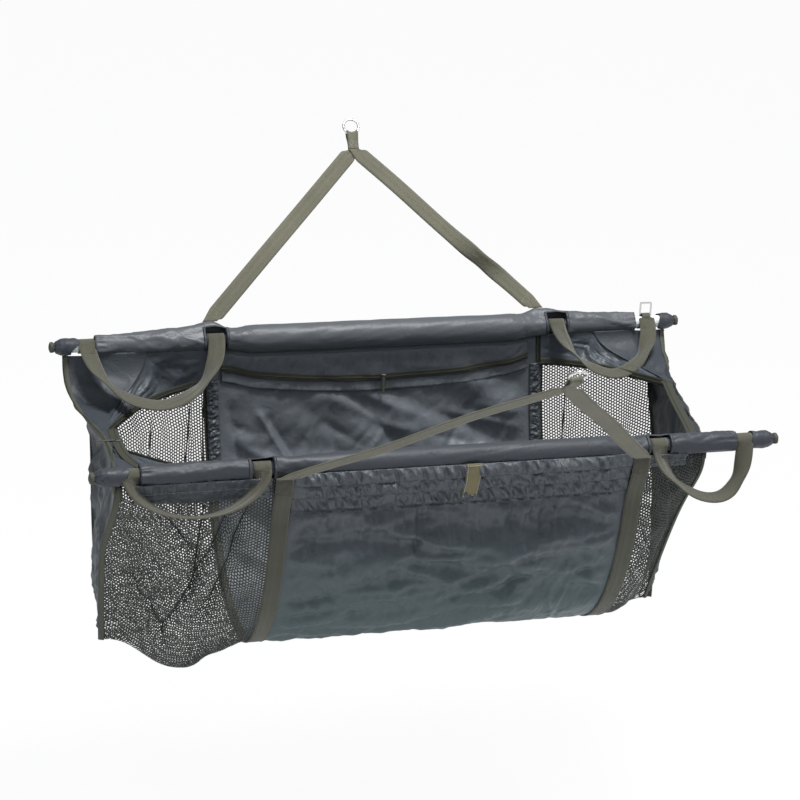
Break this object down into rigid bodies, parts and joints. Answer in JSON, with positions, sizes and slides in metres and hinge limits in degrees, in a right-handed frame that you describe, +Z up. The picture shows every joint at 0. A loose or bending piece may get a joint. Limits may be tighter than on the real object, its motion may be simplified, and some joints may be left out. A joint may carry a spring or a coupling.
{
  "type": "weigh sling",
  "caption": "Weigh sling for large fish: a deep nylon and mesh bag between two sleeved poles, with webbing hangers and rings, four carry handles and a zipped mouth.",
  "frame": {"origin": "centre of the rear hanger's steel ring, where the scale's hook takes it", "axes": "+X along the sling to the right, -Y towards the front wall, +Z up"},
  "size_m": [1.2007, 1.0171, 0.8342],
  "materials": {
    "coated_nylon": "slate grey coated nylon with a satin sheen and many small wrinkles",
    "fine_mesh": "fine grey olive drain mesh",
    "olive_webbing": "olive grey woven webbing, matte",
    "zip_tape": "dark olive zip tape and binding, matte",
    "ring_steel": "bright steel",
    "white_tube": "white plastic tube, semi matte",
    "grey_foam": "soft closed cell foam",
    "hook_tape": "mustard olive hook and loop tape",
    "black_plastic": "black plastic, semi matte"
  },
  "bodies": {
    "bag": {"rear_sleeve": "coated_nylon", "rear_pole": "white_tube", "rear_float": "grey_foam", "rear_plug_left": "black_plastic", "rear_plug_right": "black_plastic", "rear_pocket_left": "coated_nylon", "rear_pocket_right": "coated_nylon", "rear_centre_panel": "coated_nylon", "rear_mesh_left": "fine_mesh", "rear_mesh_right": "fine_mesh", "rear_strap_left": "olive_webbing", "rear_strap_right": "olive_webbing", "ruched_strip_left": "coated_nylon", "ruched_strip_right": "coated_nylon", "rear_facing": "coated_nylon", "rear_zip_tape": "zip_tape", "left_gusset": "coated_nylon", "right_gusset": "coated_nylon", "left_zip_tape": "zip_tape", "right_zip_tape": "zip_tape"},
    "front_side": {"front_sleeve": "coated_nylon", "front_pole": "white_tube", "front_float": "grey_foam", "front_plug_left": "black_plastic", "front_plug_right": "black_plastic", "front_pocket_left": "coated_nylon", "front_pocket_right": "coated_nylon", "front_centre_panel": "coated_nylon", "front_mesh_left": "fine_mesh", "front_mesh_right": "fine_mesh", "front_strap_left": "olive_webbing", "front_strap_right": "olive_webbing", "front_zip_tape": "zip_tape", "front_ruched_band": "coated_nylon", "closure_tab": "hook_tape", "snap_button": "black_plastic"},
    "rear_hanger": {"rear_hanger_left_leg": "olive_webbing", "rear_hanger_right_leg": "olive_webbing", "rear_hanger_eye": "olive_webbing"},
    "rear_ring": {"rear_ring": "ring_steel"},
    "front_hanger": {"front_hanger_left_leg": "olive_webbing", "front_hanger_right_leg": "olive_webbing", "front_hanger_eye": "olive_webbing"},
    "front_ring": {"front_ring": "ring_steel"},
    "rear_handle_left": {"rear_handle_left": "olive_webbing"},
    "rear_handle_right": {"rear_handle_right": "olive_webbing"},
    "front_handle_left": {"front_handle_left": "olive_webbing"},
    "front_handle_right": {"front_handle_right": "olive_webbing"},
    "clip": {"pole_clip": "ring_steel"},
    "rear_zip_slider": {"rear_zip_slider": "black_plastic"},
    "rear_zip_pull": {"rear_zip_pull": "olive_webbing"},
    "left_zip_slider": {"left_zip_slider": "black_plastic"},
    "left_zip_pull": {"left_zip_pull": "olive_webbing"}
  },
  "joints": [
    {"name": "front_side_close", "type": "hinge", "parent": "bag", "child": "front_side", "pos_m": [0, -0.482, -0.7892], "axis": [-1, 0, 0], "range_deg": [0, 30], "deforming": ["left_gusset", "right_gusset", "left_zip_tape", "right_zip_tape"]},
    {"name": "rear_hanger_swing", "type": "hinge", "parent": "bag", "child": "rear_hanger", "pos_m": [0, -0.20853, -0.30548], "axis": [-1, 0, 0], "range_deg": [-34, 100]},
    {"name": "rear_ring_swing", "type": "hinge", "parent": "rear_hanger", "child": "rear_ring", "pos_m": [0, -0.00817, -0.01198], "axis": [-1, 0, 0], "range_deg": [-70, 70]},
    {"name": "front_hanger_swing", "type": "hinge", "parent": "front_side", "child": "front_hanger", "pos_m": [0, -0.72647, -0.41541], "axis": [-1, 0, 0], "range_deg": [-100, 30]},
    {"name": "front_ring_swing", "type": "hinge", "parent": "front_hanger", "child": "front_ring", "pos_m": [0.112, -0.98335, -0.17785], "axis": [-1, 0, 0], "range_deg": [-70, 70]},
    {"name": "rear_handle_left_swing", "type": "hinge", "parent": "bag", "child": "rear_handle_left", "pos_m": [-0.415, -0.222, -0.338], "axis": [-1, 0, 0], "range_deg": [0, 72]},
    {"name": "rear_handle_right_swing", "type": "hinge", "parent": "bag", "child": "rear_handle_right", "pos_m": [0.442, -0.222, -0.338], "axis": [-1, 0, 0], "range_deg": [0, 72]},
    {"name": "front_handle_left_swing", "type": "hinge", "parent": "front_side", "child": "front_handle_left", "pos_m": [-0.424, -0.702, -0.404], "axis": [-1, 0, 0], "range_deg": [0, 100]},
    {"name": "front_handle_right_swing", "type": "hinge", "parent": "front_side", "child": "front_handle_right", "pos_m": [0.454, -0.702, -0.404], "axis": [-1, 0, 0], "range_deg": [0, 100]},
    {"name": "clip_swing", "type": "hinge", "parent": "rear_handle_right", "child": "clip", "pos_m": [0.532, -0.222, -0.3249], "axis": [-1, 0, 0], "range_deg": [-40, 40]},
    {"name": "rear_zip_slide", "type": "slide", "parent": "bag", "child": "rear_zip_slider", "axis": [1, 0, 0], "range_m": [-0.06, 0.06]},
    {"name": "rear_pull_swing", "type": "hinge", "parent": "rear_zip_slider", "child": "rear_zip_pull", "pos_m": [0.018, -0.23328, -0.42124], "axis": [-1, 0, 0], "range_deg": [0, 80]},
    {"name": "left_zip_slide", "type": "slide", "parent": "bag", "child": "left_zip_slider", "axis": [0, 1, 0], "range_m": [-0.01, 0.05]},
    {"name": "left_pull_swing", "type": "hinge", "parent": "left_zip_slider", "child": "left_zip_pull", "pos_m": [-0.5188, -0.462, -0.43], "axis": [0, 1, 0], "range_deg": [0, 90]}
  ]
}
